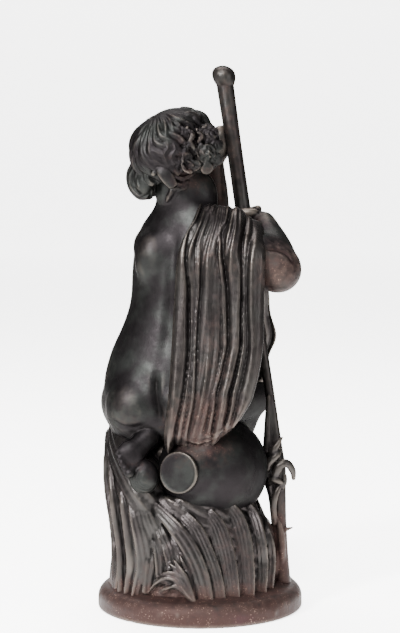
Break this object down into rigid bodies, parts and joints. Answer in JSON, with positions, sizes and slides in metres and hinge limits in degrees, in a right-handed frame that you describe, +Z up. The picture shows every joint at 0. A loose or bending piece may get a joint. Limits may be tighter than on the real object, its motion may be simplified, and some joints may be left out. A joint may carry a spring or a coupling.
{
  "type": "garden statue",
  "caption": "Cast iron garden statue of a kneeling boy with a draped cloth and a tall bulrush, on an urn among reeds, with a round base.",
  "frame": {"origin": "centre of the round base's flat underside", "axes": "+Z up; the boy faces +Y; the picture is taken from -Y, behind the boy, with +X to its right"},
  "size_m": [0.4, 0.433, 1.051],
  "materials": {
    "cast_iron": "satin, weathered, with reddish rust on the base"
  },
  "bodies": {
    "root": {"statue": "cast_iron"}
  },
  "joints": []
}
